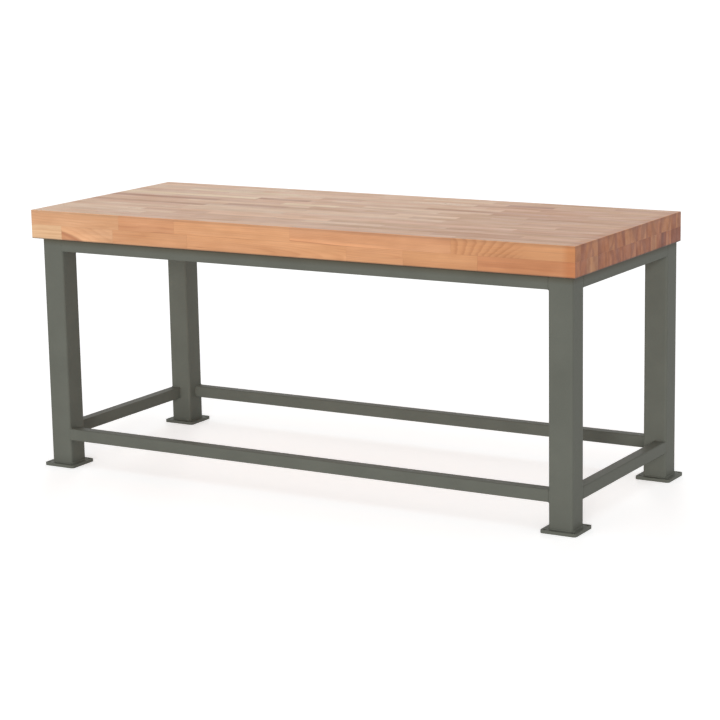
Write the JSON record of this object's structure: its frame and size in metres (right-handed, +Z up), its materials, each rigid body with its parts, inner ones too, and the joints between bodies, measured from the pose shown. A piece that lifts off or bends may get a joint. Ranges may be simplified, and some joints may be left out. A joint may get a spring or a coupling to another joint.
{
  "type": "heavy-duty workbench",
  "caption": "Heavy-duty workbench: thick block-glued beech worktop on a welded square-tube steel frame with low stretchers and floor plates.",
  "frame": {"origin": "middle of the bench's footprint, on the floor", "axes": "+X along the bench to the right of someone in front of it, +Y from the front to the rear, +Z up"},
  "size_m": [2.008, 0.832, 0.875],
  "materials": {
    "beech": "planed and oiled, satin",
    "powder_coat": "grey-green powder coat, satin",
    "zinc": "zinc plated"
  },
  "bodies": {
    "root": {"base_plate_front_left": "powder_coat", "base_plate_front_right": "powder_coat", "base_plate_rear_left": "powder_coat", "base_plate_rear_right": "powder_coat", "fixing_lugs": "powder_coat", "fixing_screws": "zinc", "fixing_washers": "zinc", "leg_front_left": "powder_coat", "leg_front_right": "powder_coat", "leg_rear_left": "powder_coat", "leg_rear_right": "powder_coat", "lower_stave_row_01": "beech", "lower_stave_row_02": "beech", "lower_stave_row_03": "beech", "lower_stave_row_04": "beech", "lower_stave_row_05": "beech", "lower_stave_row_06": "beech", "lower_stave_row_07": "beech", "lower_stave_row_08": "beech", "lower_stave_row_09": "beech", "lower_stave_row_10": "beech", "lower_stave_row_11": "beech", "lower_stave_row_12": "beech", "lower_stave_row_13": "beech", "lower_stave_row_14": "beech", "lower_stave_row_15": "beech", "lower_stave_row_16": "beech", "lower_stave_row_17": "beech", "lower_stave_row_18": "beech", "lower_stave_row_19": "beech", "lower_stave_row_20": "beech", "stretcher_front": "powder_coat", "stretcher_left": "powder_coat", "stretcher_rear": "powder_coat", "stretcher_right": "powder_coat", "top_rail_front": "powder_coat", "top_rail_left": "powder_coat", "top_rail_rear": "powder_coat", "top_rail_right": "powder_coat", "upper_stave_row_01": "beech", "upper_stave_row_02": "beech", "upper_stave_row_03": "beech", "upper_stave_row_04": "beech", "upper_stave_row_05": "beech", "upper_stave_row_06": "beech", "upper_stave_row_07": "beech", "upper_stave_row_08": "beech", "upper_stave_row_09": "beech", "upper_stave_row_10": "beech", "upper_stave_row_11": "beech", "upper_stave_row_12": "beech", "upper_stave_row_13": "beech", "upper_stave_row_14": "beech", "upper_stave_row_15": "beech", "upper_stave_row_16": "beech", "upper_stave_row_17": "beech", "upper_stave_row_18": "beech", "upper_stave_row_19": "beech", "upper_stave_row_20": "beech"}
  },
  "joints": []
}
